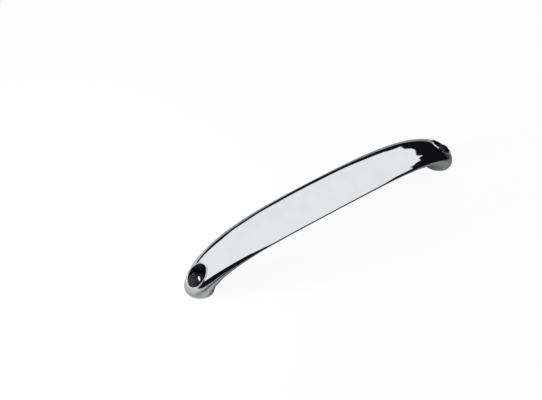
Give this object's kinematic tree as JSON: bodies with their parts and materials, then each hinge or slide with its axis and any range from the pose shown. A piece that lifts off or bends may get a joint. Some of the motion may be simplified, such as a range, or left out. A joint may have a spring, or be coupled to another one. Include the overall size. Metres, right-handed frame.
{
  "type": "grab bar",
  "caption": "Low arched chrome grab bar with a wide crowned hand band, round feet and capped recesses over long bolts that clamp it through a deck or bath rim.",
  "frame": {"origin": "centre of the mounting plane, midway between the two screws, on the face where the gaskets meet the deck", "axes": "+X along the bar towards the right foot, +Y across the band, +Z away from the deck towards the hand"},
  "size_m": [0.254, 0.033, 0.0719],
  "materials": {
    "chrome_plate": "mirror-polished chrome plate on a zinc casting",
    "black_plastic": "glossy moulded black plastic",
    "zinc_steel": "bright zinc-plated steel, as turned and stamped",
    "black_rubber": "matt moulded rubber",
    "grey_nylon": "moulded natural nylon"
  },
  "bodies": {
    "bar": {"bar_body": "chrome_plate", "foot_gasket_left": "black_rubber", "foot_gasket_right": "black_rubber", "cap_seat_left": "grey_nylon", "cap_seat_right": "grey_nylon"},
    "cap_left": {"cap_left": "black_plastic"},
    "screw_left": {"screw_left": "zinc_steel"},
    "washers_left": {"backing_pad_left": "black_rubber", "plain_washer_left": "zinc_steel", "lock_washer_left": "zinc_steel"},
    "nut_left": {"wing_nut_left": "zinc_steel"},
    "cap_right": {"cap_right": "black_plastic"},
    "screw_right": {"screw_right": "zinc_steel"},
    "washers_right": {"backing_pad_right": "black_rubber", "plain_washer_right": "zinc_steel", "lock_washer_right": "zinc_steel"},
    "nut_right": {"wing_nut_right": "zinc_steel"}
  },
  "joints": [
    {"name": "cap_pull_left", "type": "slide", "parent": "bar", "child": "cap_left", "axis": [0, 0, 1], "range_m": [0, 0.02]},
    {"name": "screw_turn_left", "type": "hinge", "parent": "bar", "child": "screw_left", "pos_m": [-0.112, 0, 0], "axis": [0, 0, 1], "continuous": true},
    {"name": "washers_drop_left", "type": "slide", "parent": "screw_left", "child": "washers_left", "axis": [0, 0, -1], "range_m": [-0.01, 0.01]},
    {"name": "nut_turn_left", "type": "hinge", "parent": "washers_left", "child": "nut_left", "pos_m": [-0.112, 0, 0], "axis": [0, 0, -1], "range_deg": [-3600, 3600]},
    {"name": "cap_pull_right", "type": "slide", "parent": "bar", "child": "cap_right", "axis": [0, 0, 1], "range_m": [0, 0.02]},
    {"name": "screw_turn_right", "type": "hinge", "parent": "bar", "child": "screw_right", "pos_m": [0.112, 0, 0], "axis": [0, 0, 1], "continuous": true},
    {"name": "washers_drop_right", "type": "slide", "parent": "screw_right", "child": "washers_right", "axis": [0, 0, -1], "range_m": [-0.01, 0.01]},
    {"name": "nut_turn_right", "type": "hinge", "parent": "washers_right", "child": "nut_right", "pos_m": [0.112, 0, 0], "axis": [0, 0, -1], "range_deg": [-3600, 3600]}
  ],
  "couplings": [
    {"joint": "washers_drop_left", "follows": "nut_turn_left", "m_per_rad": 0.00015915},
    {"joint": "washers_drop_right", "follows": "nut_turn_right", "m_per_rad": 0.00015915}
  ]
}
